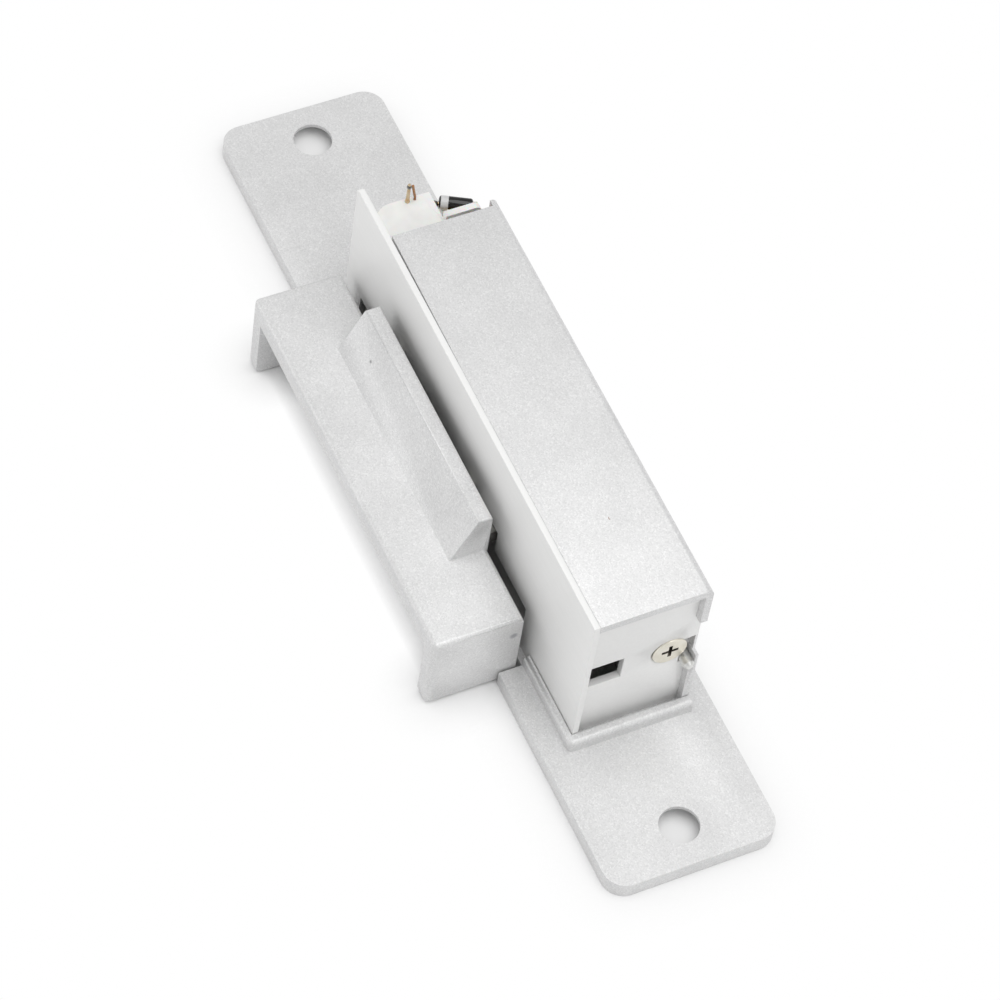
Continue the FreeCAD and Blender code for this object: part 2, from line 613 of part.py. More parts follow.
block_low = "coil_z + coil_wound + coil_tape_thick + block_gap"
far_face = "-coil_far"
term_block, term_pad = profile("terminal_block", [
    (far_face, "-block_left"), ("-block_near", "-block_left"),
    ("-block_near", "block_right"), (far_face, "block_right"),
], block_low, "block_top - (%s)" % block_low, "XY")
rounded(
    "terminal_block", term_block, term_pad,
    lambda middle: near(middle.x, far_face) and near(middle.y, "-block_left"), "block_round")
rib, rib_pad = profile("terminal_rib", [
    ("block_right - groove_play", block_low), ("rib_right", block_low),
    ("rib_right", "rib_top"), ("block_right - groove_play", "rib_top"),
], "-rib_far", "rib_far - block_near")
rounded(
    "terminal_rib", rib, rib_pad,
    lambda middle: near(middle.y, "rib_right") and near(middle.z, "rib_top"), "rib_round")
bobbin_whole = fuse("bobbin_whole", [
    term_block,
    rib,
    box(
        "block_neck", (far_face, far_in), ("-block_left + block_round", "block_right"),
        ("coil_z", block_low + " + overlap")),
    rod("flange_far", "X", (far_face, "coil_y", "coil_z"), "flange_thick", "flange_disc"),
    rod("bobbin_tube", "X", (far_face, "coil_y", "coil_z"), "coil_far - coil_near", "tube_out"),
    box(
        "flange_near", (near_in, "-coil_near"), span("coil_y", "coil_wound + flange_out"),
        (flange_low, "coil_z + coil_wound + flange_out")),
])
term_x = far_face + " + term_in"
left_pin_at = (term_x, "-term_left", "block_top - term_deep")
right_pin_at = (term_x, "block_right - term_deep", "diode_z")
keep("coil_bobbin", cut("coil_bobbin_cut", bobbin_whole, [
    rod("bobbin_bore", "X", (far_face + " - over", "coil_y", "coil_z"), "coil_far", "tube_bore"),
    rod("left_pin_hole", "Z", left_pin_at, "term_deep + over", "term_dia / 2"),
    rod("right_pin_hole", "Y", right_pin_at, "term_deep + over", "term_dia / 2"),
]))
wound_at = (far_in, "coil_y", "coil_z")
wound_past = (far_in + " - over", "coil_y", "coil_z")
wound_long = length((far_in, near_in))
winding = rod("winding_outside", "X", wound_at, wound_long, "coil_wound")
keep("coil_winding", cut("coil_winding_cut", winding, [
    rod("winding_inside", "X", wound_past, "coil_far", "tube_out"),
]))
tape = rod("tape_outside", "X", wound_at, wound_long, tape_out)
keep("coil_tape", cut("coil_tape_cut", tape, [
    rod("tape_inside", "X", wound_past, "coil_far", "coil_wound"),
]))
keep("fixed_core", fuse("fixed_core_whole", [
    rod("core_body", "X", (far_face, "coil_y", "coil_z"), "coil_far - core_near", "iron_dia / 2"),
    rod(
        "core_rivet", "X", (yoke_far + " - rivet_out", "coil_y", "coil_z"),
        "yoke_thick + rivet_out", "iron_dia / 4"),
]))
plunger_far = "-core_near + air_gap"
rod_start = "-plunger_near - over"
taper_at = "rod_near - rod_taper"
keep("plunger", fuse("plunger_whole", [
    rod(
        "plunger_body", "X", (plunger_far, "coil_y", "coil_z"),
        length((plunger_far, "-plunger_near")), "iron_dia / 2"),
    rod("plunger_rod", "X", (rod_start, "coil_y", "coil_z"), length((rod_start, taper_at)), "rod_dia / 2"),
    cone("plunger_nose", "X", (taper_at, "coil_y", "coil_z"), "rod_taper", "rod_dia / 2", "rod_tip / 2"),
]))
clip = rod("clip_disc", "X", ("clip_at", "coil_y", "coil_z"), "clip_thick", "clip_dia / 2")
keep("plunger_clip", cut("plunger_clip_cut", clip, [
    rod("clip_bore", "X", ("clip_at - over", "coil_y", "coil_z"), "clip_thick + 2 * over", "rod_dia / 2"),
]))
keep("plunger_spring", coil(
    "plunger_spring_coil", "X", (yoke_near, "coil_y", "coil_z"), length((yoke_near, "clip_at")),
    "spring_coil", "spring_wire", 6))

# Terminal pins in the block, and the strand that climbs from the block to the tall pin's tip.
keep("terminal_pin_left", rod("left_pin", "Z", left_pin_at, "term_deep + term_up", "term_dia / 2"))
keep("terminal_pin_right", rod("right_pin", "Y", right_pin_at, "term_deep + term_out", "term_dia / 2"))
strand_low = "-term_left + strand_side"
strand_high = "-term_left + term_dia / 2 + strand_dia / 2"
keep("coil_lead", wire("strand", [
    spot((term_x, strand_low, "block_top")),
    spot((term_x, strand_low, "block_top + strand_up")),
    spot((term_x, strand_high, "block_top + term_up - strand_top")),
], number("strand_dia")))

# Diode: it lies across the winding, slanted in plan, from the low pin to the winding's side.
DIODE_SLANT = math.radians(number("diode_turn"))


def along_diode(axial):
    """A point on the diode's axis, at a distance from its end beside the block."""
    x = "%s + diode_in + (%s) * sin(diode_turn)" % (far_face, axial)
    y = "diode_y + (%s) * cos(diode_turn)" % axial
    return x, y, "diode_z"


diode = doc.addObject("Part::Cylinder", "diode_body")
diode.Placement.Rotation = FreeCAD.Rotation(V(-math.cos(DIODE_SLANT), math.sin(DIODE_SLANT), 0), 90)
bind(diode, "Radius", "diode_dia / 2")
bind(diode, "Height", "diode_long")
keep("flyback_diode", place(diode, *along_diode("0")))
keep("diode_lead_left", wire("lead_to_pin", [
    spot(along_diode("0")),
    spot(along_diode("-lead_stub")),
], number("lead_dia"), 8))
bend = along_diode("diode_long + lead_bend")
keep("diode_lead_right", wire("lead_to_winding", [
    spot(along_diode("diode_long")),
    spot(bend),
    spot((bend[0], bend[1], "coil_z")),
    spot((bend[0], "coil_y + %s + lead_play" % tape_out, "coil_z")),
], number("lead_dia"), 8))


def countersunk(node, axis, at, long, sign, head="head_deep"):
    """A screw whose head's top is at a point; sign says which way the shank runs."""
    step = {"X": 0, "Z": 2}[axis]
    top = at[step]

    def moved(along):
        shifted = list(at)
        shifted[step] = along
        return shifted

    shank_long = "%s - (%s) + overlap" % (long, head)
    if sign > 0:
        cap = cone(node + "_head", axis, at, head, "screw_head / 2", "screw_dia / 2")
        shank_at = moved("(%s) + %s - overlap" % (top, head))
        deep = ("(%s) - over" % top, "(%s) + cross_deep" % top)
    else:
        head_at = moved("(%s) - (%s)" % (top, head))
        cap = cone(node + "_head", axis, head_at, head, "screw_dia / 2", "screw_head / 2")
        shank_at = moved("(%s) - (%s)" % (top, long))
        deep = ("(%s) - cross_deep" % top, "(%s) + over" % top)
    shank = rod(node + "_shank", axis, shank_at, shank_long, "screw_dia / 2")
    others = [k for k in range(3) if k != step]
    arms = []
    for n, halves in enumerate((("cross_reach", "cross_half"), ("cross_half", "cross_reach"))):
        ends = [deep, deep, deep]
        for k, half in zip(others, halves):
            ends[k] = span(at[k], half)
        arms.append(box("%s_slot_%d" % (node, n), *ends))
    keep(node, cut(node + "_cut", fuse(node + "_whole", [cap, shank]), arms))


# Screws: all countersunk. One holds the end plate, two come through the faceplate from its front.
countersunk(
    "end_screw", "X", (end_out + " + head_proud", "end_screw_y", "end_screw_z"),
    "end_screw_long", -1, "end_thick + head_proud")
countersunk("front_screw_near", "Z", ("front_screw_near", "front_screw_y", "0"), "front_screw_long", 1)
countersunk("front_screw_far", "Z", ("-front_screw_far", "front_screw_y", "0"), "front_screw_long", 1)

# Everything is worked out once more, looked over and written out, one file for each node.
doc.removeObject(probe.Name)
doc.recompute()
faults = [thing.Name for thing in doc.Objects if "Invalid" in thing.State or "Error" in thing.State]
for node, thing in nodes.items():
    shape = thing.Shape
    if shape.isNull() or not shape.isValid() or shape.Volume <= 0:
        faults.append(node)
if faults:
    raise RuntimeError("these did not build: " + ", ".join(faults))
for node, thing in nodes.items():
    thing.Shape.exportStep("parts/%s.step" % node)
    ends = thing.Shape.BoundBox
    sides = [round(value, 2) for value in (ends.XLength, ends.YLength, ends.ZLength)]
    print(node, "volume", round(thing.Shape.Volume, 1), "solids", len(thing.Shape.Solids), "sides", sides)
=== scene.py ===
# %% [markdown]
# # Electric strike, seen from its rear
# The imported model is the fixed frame: every piece below sits where it says. The materials come first,
# then the castings, sheets, screws and small pieces, and the last cells hold the floor, the lamps and
# the camera.

# %% Load the frame
import bpy
import json
import math
from mathutils import Matrix, Vector

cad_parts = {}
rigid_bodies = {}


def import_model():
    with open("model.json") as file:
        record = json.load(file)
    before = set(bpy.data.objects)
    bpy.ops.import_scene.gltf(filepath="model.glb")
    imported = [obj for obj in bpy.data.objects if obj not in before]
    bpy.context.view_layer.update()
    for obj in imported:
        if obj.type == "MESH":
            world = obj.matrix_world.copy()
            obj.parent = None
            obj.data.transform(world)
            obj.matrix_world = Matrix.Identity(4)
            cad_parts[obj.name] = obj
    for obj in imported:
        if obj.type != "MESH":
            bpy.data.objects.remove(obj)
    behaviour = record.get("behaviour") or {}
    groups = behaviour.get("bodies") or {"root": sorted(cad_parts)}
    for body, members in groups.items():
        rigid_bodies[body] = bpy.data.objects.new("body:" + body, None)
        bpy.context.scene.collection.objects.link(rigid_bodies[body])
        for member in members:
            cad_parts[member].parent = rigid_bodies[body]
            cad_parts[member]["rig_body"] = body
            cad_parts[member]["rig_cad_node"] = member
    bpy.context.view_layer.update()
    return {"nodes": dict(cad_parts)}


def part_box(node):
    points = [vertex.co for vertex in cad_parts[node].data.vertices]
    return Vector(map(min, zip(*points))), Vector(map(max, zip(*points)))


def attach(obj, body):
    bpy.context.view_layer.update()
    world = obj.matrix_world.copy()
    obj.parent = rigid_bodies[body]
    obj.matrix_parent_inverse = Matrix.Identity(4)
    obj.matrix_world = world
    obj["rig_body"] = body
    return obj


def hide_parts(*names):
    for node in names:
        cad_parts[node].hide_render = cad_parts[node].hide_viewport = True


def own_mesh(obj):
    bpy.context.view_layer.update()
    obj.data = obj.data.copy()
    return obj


MM = 0.001
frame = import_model()
scene = bpy.context.scene

# %% [markdown]
# ## Small tools
# Colours are written as a screen shows them, so one function turns them to the linear values that a
# renderer adds up. Another adds a shader node with its settings and links in one line. Patterns are
# given by the real size of one grain in millimetres, because object coordinates are in metres.

# %% Colours, shader nodes and pattern scales
def colour(code, alpha=1.0):
    """An sRGB hex colour as linear red, green, blue and alpha."""
    parts = [int(code[i:i + 2], 16) / 255 for i in (1, 3, 5)]
    return [p / 12.92 if p <= 0.04045 else ((p + 0.055) / 1.055) ** 2.4 for p in parts] + [alpha]


def per_mm(size):
    """The scale at which a pattern's cells are about this many millimetres wide."""
    return 1 / (size * MM)


def new_material(name):
    """A material with nothing but its shader and its output."""
    material = bpy.data.materials.new(name)
    material.use_nodes = True
    tree = material.node_tree
    tree.nodes.clear()
    shader = tree.nodes.new("ShaderNodeBsdfPrincipled")
    output = tree.nodes.new("ShaderNodeOutputMaterial")
    tree.links.new(shader.outputs["BSDF"], output.inputs["Surface"])
    return material, tree, shader


def add(tree, kind, values=None, links=None, stops=(), **settings):
    """Adds a shader node with its options, input values, links from other outputs and colour stops."""
    made = tree.nodes.new(kind)
    for key, value in settings.items():
        setattr(made, key, value)
    for key, value in (values or {}).items():
        made.inputs[key].default_value = value
    for key, source in (links or {}).items():
        tree.links.new(source, made.inputs[key])
    for n, (position, code) in enumerate(stops):
        band = made.color_ramp.elements
        element = band[n] if n < len(band) else band.new(position)
        element.position = position
        element.color = colour(code)
    return made


def dress(thing, material):
    """Gives a piece one material all over."""
    thing.data.materials.clear()
    thing.data.materials.append(material)
    return thing


print("mid grey in linear values:", [round(part, 3) for part in colour("#808080")])

# %% [markdown]
# ## Sparkle silver paint
# The faceplate, housing and keeper are zinc castings with a silver powder coat. Powder melts into a
# fine orange peel, and the aluminium flakes in it lie at all angles, so the surface sparkles like fine
# sand. Cells of a fifth of a millimetre stand for the flakes: the real ones are finer, but would not
# show at this distance. Each cell gets its own brightness and gloss, and noise raises the grain. The
# keeper's coat also has two small dark marks, each a soft spot round a point.

# %% Material: silver powder coat on zinc
FLAKE_MM, CLOUD_MM, PEEL_MM = 0.2, 11, 0.42
FLAKE_SHADES = [(0.0, "#D6D6D6"), (0.3, "#DEDEDE"), (0.8, "#E3E3E3"), (1.0, "#EDEDED")]
CLOUD_SHADES = [(0.3, "#F6F6F6"), (0.7, "#FFFFFF")]
MARK_CORE = 0.4
KEEPER_MARKS = [
    ((-13.5, -15.3, 20.4), 0.35, "#9A9A9A"),
    ((34.5, -12.4, 12.0), 0.8, "#B0B0B4"),
]


def sparkle_powder_coat(name, marks=()):
    """Silver powder coat. Each mark is a point in mm, a radius in mm and the colour that shows there."""
    material, tree, shader = new_material(name)
    place = add(tree, "ShaderNodeTexCoord").outputs["Object"]
    cells = add(tree, "ShaderNodeTexVoronoi", {"Scale": per_mm(FLAKE_MM)}, {"Vector": place})
    cell = add(tree, "ShaderNodeSeparateColor", links={"Color": cells.outputs["Color"]})
    flakes = add(tree, "ShaderNodeValToRGB", links={"Fac": cell.outputs["Red"]}, stops=FLAKE_SHADES)
    size = {"Scale": per_mm(CLOUD_MM), "Detail": 3.0}
    cloud = add(tree, "ShaderNodeTexNoise", size, {"Vector": place})
    soft = add(tree, "ShaderNodeValToRGB", links={"Fac": cloud.outputs["Fac"]}, stops=CLOUD_SHADES)
    layers = {6: flakes.outputs["Color"], 7: soft.outputs["Color"]}
    tint = add(tree, "ShaderNodeMix", {"Factor": 1.0}, layers, data_type="RGBA", blend_type="MULTIPLY")
    surface = tint.outputs[2]
    for point, radius, shade in marks:
        away = add(tree, "ShaderNodeVectorMath", {1: Vector(point) * MM}, {0: place}, operation="DISTANCE")
        fade = {
            "From Min": MARK_CORE * radius * MM, "From Max": radius * MM, "To Min": 1.0, "To Max": 0.0}
        near = add(tree, "ShaderNodeMapRange", fade, {"Value": away.outputs["Value"]})
        layers = {0: near.outputs["Result"], 6: surface}
        worn = add(tree, "ShaderNodeMix", {7: colour(shade)}, layers, data_type="RGBA")
        surface = worn.outputs[2]
    tree.links.new(surface, shader.inputs["Base Color"])
    spread = {"To Min": 0.4, "To Max": 0.52}
    gloss = add(tree, "ShaderNodeMapRange", spread, {"Value": cell.outputs["Green"]})
    tree.links.new(gloss.outputs["Result"], shader.inputs["Roughness"])
    size = {"Scale": per_mm(PEEL_MM), "Detail": 2.0}
    grain = add(tree, "ShaderNodeTexNoise", size, {"Vector": place})
    depth = {"Strength": 0.13, "Distance": 0.02 * MM}
    peel = add(tree, "ShaderNodeBump", depth, {"Height": grain.outputs["Fac"]})
    heights = {"Height": cell.outputs["Blue"], "Normal": peel.outputs["Normal"]}
    tilt = add(tree, "ShaderNodeBump", {"Strength": 0.09, "Distance": 0.015 * MM}, heights)
    tree.links.new(tilt.outputs["Normal"], shader.inputs["Normal"])
    shader.inputs["Metallic"].default_value = 0.3
    return material


powder_coat = sparkle_powder_coat("silver powder coat on zinc")
keeper_coat = sparkle_powder_coat("silver powder coat with marks", marks=KEEPER_MARKS)
print(powder_coat.name, "and the same with", len(KEEPER_MARKS), "marks")

# %% [markdown]
# ## Satin sheet
# The side cover and the end plate are thin sheet, painted without sparkle. Rolled sheet stays flat and
# even, so the finish is smooth, pale satin with only faint rolling marks along its length: noise that
# is stretched until it turns into lines.

# %% Material: satin silver paint on steel sheet
LINE_MM, GLOSS_MM, DUST_MM = 0.5, 6, 0.3
STRETCH_ALONG = (0.08, 1.0, 1.0)
sheet_paint, tree, shader = new_material("satin silver paint on sheet")
place = add(tree, "ShaderNodeTexCoord").outputs["Object"]
drawn = add(tree, "ShaderNodeMapping", {"Scale": STRETCH_ALONG}, {"Vector": place})
along = {"Vector": drawn.outputs["Vector"]}
lines = add(tree, "ShaderNodeTexNoise", {"Scale": per_mm(LINE_MM), "Detail": 3.0}, along)
shades = [(0.3, "#EFEFEE"), (0.7, "#F2F2F1")]
tint = add(tree, "ShaderNodeValToRGB", links={"Fac": lines.outputs["Fac"]}, stops=shades)
tree.links.new(tint.outputs["Color"], shader.inputs["Base Color"])
cloud = add(tree, "ShaderNodeTexNoise", {"Scale": per_mm(GLOSS_MM), "Detail": 2.0}, {"Vector": place})
spread = {"To Min": 0.36, "To Max": 0.46}
gloss = add(tree, "ShaderNodeMapRange", spread, {"Value": cloud.outputs["Fac"]})
tree.links.new(gloss.outputs["Result"], shader.inputs["Roughness"])
dust = add(tree, "ShaderNodeTexNoise", {"Scale": per_mm(DUST_MM), "Detail": 2.0}, {"Vector": place})
depth = {"Strength": 0.08, "Distance": 0.01 * MM}
bump = add(tree, "ShaderNodeBump", depth, {"Height": dust.outputs["Fac"]})
tree.links.new(bump.outputs["Normal"], shader.inputs["Normal"])
shader.inputs["Metallic"].default_value = 0.12
print(sheet_paint.name, "nodes:", len(tree.nodes))

# %% [markdown]
# ## Bare metals
# The mechanism is punched and turned steel with bright zinc plating, so its colour comes from what it
# reflects. Fine scratches from tumbling keep the reflections soft. Screws have the warmer, creamier
# colour of nickel, and their cross recess is painted dark: painted shade for the shade deep inside it.
# Spring wire is darker, because it is only oiled. The coil's pins are tinned brass, joined with bright
# solder.

# %% Materials: zinc plate, turned steel, nickel, spring wire, solder, tin
MOTTLE_MM, SCRATCH_MM = 1.5, 0.12
GLOSS_SPREAD = 0.07


def plated_metal(name, base, low, roughness):
    """Bare metal whose two shades and gloss change in soft patches, with fine scratches."""
    material, tree, shader = new_material(name)
    place = add(tree, "ShaderNodeTexCoord").outputs["Object"]
    size = {"Scale": per_mm(MOTTLE_MM), "Detail": 4.0}
    mottle = add(tree, "ShaderNodeTexNoise", size, {"Vector": place})
    shades = [(0.35, low), (0.65, base)]
    tint = add(tree, "ShaderNodeValToRGB", links={"Fac": mottle.outputs["Fac"]}, stops=shades)
    tree.links.new(tint.outputs["Color"], shader.inputs["Base Color"])
    spread = {"To Min": roughness - GLOSS_SPREAD, "To Max": roughness + GLOSS_SPREAD}
    gloss = add(tree, "ShaderNodeMapRange", spread, {"Value": mottle.outputs["Fac"]})
    tree.links.new(gloss.outputs["Result"], shader.inputs["Roughness"])
    size = {"Scale": per_mm(SCRATCH_MM), "Detail": 2.0}
    marks = add(tree, "ShaderNodeTexNoise", size, {"Vector": place})
    depth = {"Strength": 0.1, "Distance": 0.01 * MM}
    bump = add(tree, "ShaderNodeBump", depth, {"Height": marks.outputs["Fac"]})
    tree.links.new(bump.outputs["Normal"], shader.inputs["Normal"])
    shader.inputs["Metallic"].default_value = 1.0
    return material


zinc_steel = plated_metal("zinc plated steel", "#C9C9C6", "#B4B3AE", 0.32)
bare_steel = plated_metal("bare turned steel", "#B9B8B4", "#9C9A95", 0.28)
nickel = plated_metal("nickel plated steel", "#F7F3E8", "#EFEADC", 0.4)
# Painted shade: a dark material that stands in for the shade deep in the screws' cross recess.
recess_painted_shade = plated_metal("painted shade in screw recess", "#6F6A62", "#4A4640", 0.5)
pin_steel = plated_metal("satin turned steel", "#EDEDEB", "#DEDEDB", 0.42)
spring_wire = plated_metal("oiled spring wire", "#8C8A86", "#6E6C68", 0.3)
solder = plated_metal("soft solder", "#A9A7A6", "#8A8784", 0.22)
tinned = plated_metal("tinned brass", "#DCCBAE", "#C8B08A", 0.36)
print("materials so far:", len(bpy.data.materials))

# %% [markdown]
# ## The coil's plastics, copper and lacquer
# The bobbin is moulded white nylon, a little translucent at its edges, so light goes a short way in.
# Polyester tape covers the winding, the enamelled wire ends are copper brown, and the diode is a
# glossy black epoxy bead with a silver band printed round one end.

# %% Materials: nylon, tape, enamelled copper, epoxy, band ink
FLOW_MM, GRAIN_MM = 3, 0.2


def moulded(name, base, low, roughness, depth=0.0):
    """Moulded or lacquered matter that light enters by depth mm."""
    material, tree, shader = new_material(name)
    place = add(tree, "ShaderNodeTexCoord").outputs["Object"]
    flow = add(tree, "ShaderNodeTexNoise", {"Scale": per_mm(FLOW_MM), "Detail": 2.0}, {"Vector": place})
    shades = [(0.3, low), (0.7, base)]
    tint = add(tree, "ShaderNodeValToRGB", links={"Fac": flow.outputs["Fac"]}, stops=shades)
    tree.links.new(tint.outputs["Color"], shader.inputs["Base Color"])
    fine = add(tree, "ShaderNodeTexNoise", {"Scale": per_mm(GRAIN_MM), "Detail": 2.0}, {"Vector": place})
    relief = {"Strength": 0.15, "Distance": 0.01 * MM}
    bump = add(tree, "ShaderNodeBump", relief, {"Height": fine.outputs["Fac"]})
    tree.links.new(bump.outputs["Normal"], shader.inputs["Normal"])
    shader.inputs["Roughness"].default_value = roughness
    if depth:
        shader.inputs["Subsurface Weight"].default_value = 0.25
        shader.inputs["Subsurface Scale"].default_value = depth * MM
    return material


white_nylon = moulded("moulded white nylon", "#F1F1EF", "#E9E9E6", 0.42, depth=0.6)
coil_tape = moulded("amber polyester tape", "#C99A3C", "#B98A2E", 0.3)
epoxy = moulded("black epoxy", "#141414", "#0B0B0B", 0.12)
band_ink = moulded("silver band ink", "#D8D8D8", "#C2C2C2", 0.35)
copper_wire = moulded("enamelled copper", "#B07A4C", "#8E5A30", 0.25)
print("materials so far:", len(bpy.data.materials))

# %% [markdown]
# ## Copies that stand for nodes
# A CAD node is never changed. A copy of it is merged into one closed mesh, shaped, shaded and handed
# over in the node's place. Faces that meet at a small turn are shaded as one smooth surface.

# %% Tools: select, copy, smooth, hand over
STRIKE = "strike_body"
ACROSS, UP = (0, 1, 0), (0, 0, 1)
MERGE_MM = 0.002
SMOOTH_DEGREES = 30


def middle(node):
    """The middle of a CAD node's box."""
    low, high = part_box(node)
    return (low + high) / 2


def only(thing):
    """Selects one object and makes it active."""
    bpy.ops.object.select_all(action="DESELECT")
    thing.select_set(True)
    bpy.context.view_layer.objects.active = thing


def smooth(thing):
    """Shades an object smooth, except where its faces turn by more than SMOOTH_DEGREES."""
    only(thing)
    bpy.ops.object.shade_smooth_by_angle(angle=math.radians(SMOOTH_DEGREES))


def copied(node):
    """A copy of a CAD node, merged into one closed mesh, that is free to be shaped."""
    source = frame["nodes"][node]
    copy = source.copy()
    copy.data = source.data.copy()
    copy.name = node + "_dressed"
    copy.parent = None
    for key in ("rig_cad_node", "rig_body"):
        del copy[key]
    scene.collection.objects.link(copy)
    only(copy)
    bpy.ops.object.mode_set(mode="EDIT")
    bpy.ops.mesh.select_all(action="SELECT")
    bpy.ops.mesh.remove_doubles(threshold=MERGE_MM * MM)
    bpy.ops.object.mode_set(mode="OBJECT")
    return copy


def stand_for(thing, node, body, material):
    """Smooths and dresses a piece, and hands it over in place of a CAD node."""
    smooth(thing)
    dress(thing, material)
    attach(thing, body)
    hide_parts(node)
    return thing


print("middle of the housing in mm:", [round(part / MM, 1) for part in middle("housing")])

# %% [markdown]
# ## Soft edges
# No casting or punched sheet has a perfectly sharp edge: the paint rounds it, and the round catches
# a thin line of light. The copy's triangles are joined to whole faces, its long sharp edges get a
# small bevel, and slivers that the bevel leaves are taken out. The castings have the widest rounds,
# because the powder coat is thick. The sheets are thin, so theirs are under a tenth of a millimetre.

# %% Castings, sheets and bobbin
SHARP_DEGREES, FLAT_DEGREES = 35, 0.5
SHORTEST_MM = 1.2
ROUND_STEPS = 3


def softened(node, body, material, width, cuts=()):
    """A copy of a CAD node whose long sharp edges get a round of width mm.

    A face with a hole in it can't be one clean polygon, so each cut, a point and a direction, splits
    the faces there.
    """
    copy = copied(node)
    bpy.ops.object.mode_set(mode="EDIT")
    for point, direction in cuts:
        bpy.ops.mesh.select_all(action="SELECT")
        bpy.ops.mesh.bisect(plane_co=point, plane_no=direction)
        bpy.ops.mesh.mark_seam()
    bpy.ops.mesh.select_all(action="SELECT")
    bpy.ops.mesh.dissolve_limited(angle_limit=math.radians(FLAT_DEGREES), delimit={"SEAM"})
    bpy.ops.mesh.select_all(action="DESELECT")
    bpy.ops.mesh.select_mode(type="EDGE")
    bpy.ops.mesh.edges_select_sharp(sharpness=math.radians(SHARP_DEGREES))
    bpy.ops.object.mode_set(mode="OBJECT")
    weight = copy.data.attributes.new("bevel_weight_edge", "FLOAT", "EDGE")
    rounded = 0
    for edge in copy.data.edges:
        start, stop = [copy.data.vertices[v].co for v in edge.vertices]
        if edge.select and (stop - start).length > SHORTEST_MM * MM:
            weight.data[edge.index].value = 1.0
            rounded += 1
    bevel = copy.modifiers.new("round", "BEVEL")
    bevel.limit_method = "WEIGHT"
    bevel.width = width * MM
    bevel.segments = ROUND_STEPS
    bevel.use_clamp_overlap = True
    bpy.ops.object.modifier_apply(modifier="round")
    bpy.ops.object.mode_set(mode="EDIT")
    bpy.ops.mesh.select_all(action="SELECT")
    bpy.ops.mesh.remove_doubles(threshold=MERGE_MM * MM)
    bpy.ops.mesh.dissolve_degenerate(threshold=MERGE_MM * MM)
    bpy.ops.object.mode_set(mode="OBJECT")
    stand_for(copy, node, body, material)
    print(node, "edges rounded:", rounded, "faces:", len(copy.data.polygons))


plate_cuts = [((0, 0, 0), ACROSS), (middle("front_screw_near"), ACROSS)]
end_cuts = [(middle("end_screw"), UP)]
bobbin_cuts = [
    (middle("terminal_pin_left"), ACROSS), (middle("terminal_pin_right"), UP),
    (middle("plunger"), ACROSS)]
softened("faceplate", STRIKE, powder_coat, width=0.3, cuts=plate_cuts)
softened("housing", STRIKE, powder_coat, width=0.25)
softened("keeper", "keeper_body", keeper_coat, width=0.2)
softened("side_cover", STRIKE, sheet_paint, width=0.08)
softened("end_plate", STRIKE, sheet_paint, width=0.08, cuts=end_cuts)
softened("latch_tray", STRIKE, zinc_steel, width=0.08)
softened("coil_bobbin", STRIKE, white_nylon, width=0.2, cuts=bobbin_cuts)

# %% [markdown]
# ## Turned pieces
# Screws, pins and the diode are all round about one axis. A ring is drawn out and widened from one
# height to the next, standing on the Z axis, and the finished piece is turned and moved to its place.

# %% Tools: turn a piece, settle it in its place
TURNED_SIDES = 56


def turned(name, outline):
    """A turned piece from (radius, height) points in mm, standing on the Z axis."""
    radius, height = outline[0]
    bpy.ops.mesh.primitive_circle_add(
        vertices=TURNED_SIDES, radius=radius * MM, fill_type="NGON", location=(0, 0, height * MM))
    thing = bpy.context.object
    thing.name = name
    bpy.ops.object.mode_set(mode="EDIT")
    bpy.ops.mesh.select_all(action="SELECT")
    for (r0, h0), (r1, h1) in zip(outline, outline[1:]):
        bpy.ops.mesh.extrude_region_move(TRANSFORM_OT_translate={"value": (0, 0, (h1 - h0) * MM)})
        bpy.ops.transform.resize(value=(r1 / r0, r1 / r0, 1.0))
    bpy.ops.mesh.select_all(action="SELECT")
    bpy.ops.mesh.normals_make_consistent(inside=False)
    bpy.ops.object.mode_set(mode="OBJECT")
    print(name, "faces:", len(thing.data.polygons))
    return thing


def settled(thing, at, toward, material, body=STRIKE):
    """Turns a standing piece so that its Z axis points a way, moves it to a place and hands it over."""
    turn = Vector(toward).to_track_quat("Z", "Y").to_matrix().to_4x4()
    thing.matrix_world = Matrix.Translation(at) @ turn @ thing.matrix_world
    only(thing)
    bpy.ops.object.transform_apply(location=True, rotation=True, scale=True)
    smooth(thing)
    dress(thing, material)
    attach(thing, body)
    return thing


# %% [markdown]
# ## Screws
# A countersunk head narrows to the shank, and a thin upright rim keeps its edge from being a knife. The
# cross recess narrows as it goes down, so its cutters are square cones that are squeezed flat. They
# start a little above the head, and the faces that they leave are painted dark as painted shade.

# %% Countersunk screws with a cross recess
HEAD_R, SHANK_R, RIM_HIGH, EDGE = 2.8, 1.5, 0.2, 0.07
TIP_IN, TIP_HIGH = 0.25, 0.3
RECESS_TOP, RECESS_FLOOR, RECESS_DEEP, RECESS_FLAT = 1.4, 0.5, 1.3, 0.22
RECESS_SUNK, RECESS_SKIN = 0.46, 0.01


def recess_cutter(along):
    """A square cone, squeezed along one axis to make one bar of the cross."""
    half_diagonal = math.sqrt(2) * MM
    bpy.ops.mesh.primitive_cone_add(
        vertices=4, radius1=RECESS_FLOOR * half_diagonal, radius2=RECESS_TOP * half_diagonal,
        depth=RECESS_DEEP * MM, location=(0, 0, -RECESS_SUNK * RECESS_DEEP * MM))
    cutter = bpy.context.object
    bpy.ops.object.mode_set(mode="EDIT")
    bpy.ops.transform.rotate(value=math.radians(45), orient_axis="Z", center_override=(0, 0, 0))
    bpy.ops.transform.resize(value=(1, RECESS_FLAT, 1) if along == "X" else (RECESS_FLAT, 1, 1))
    bpy.ops.object.mode_set(mode="OBJECT")
    return cutter


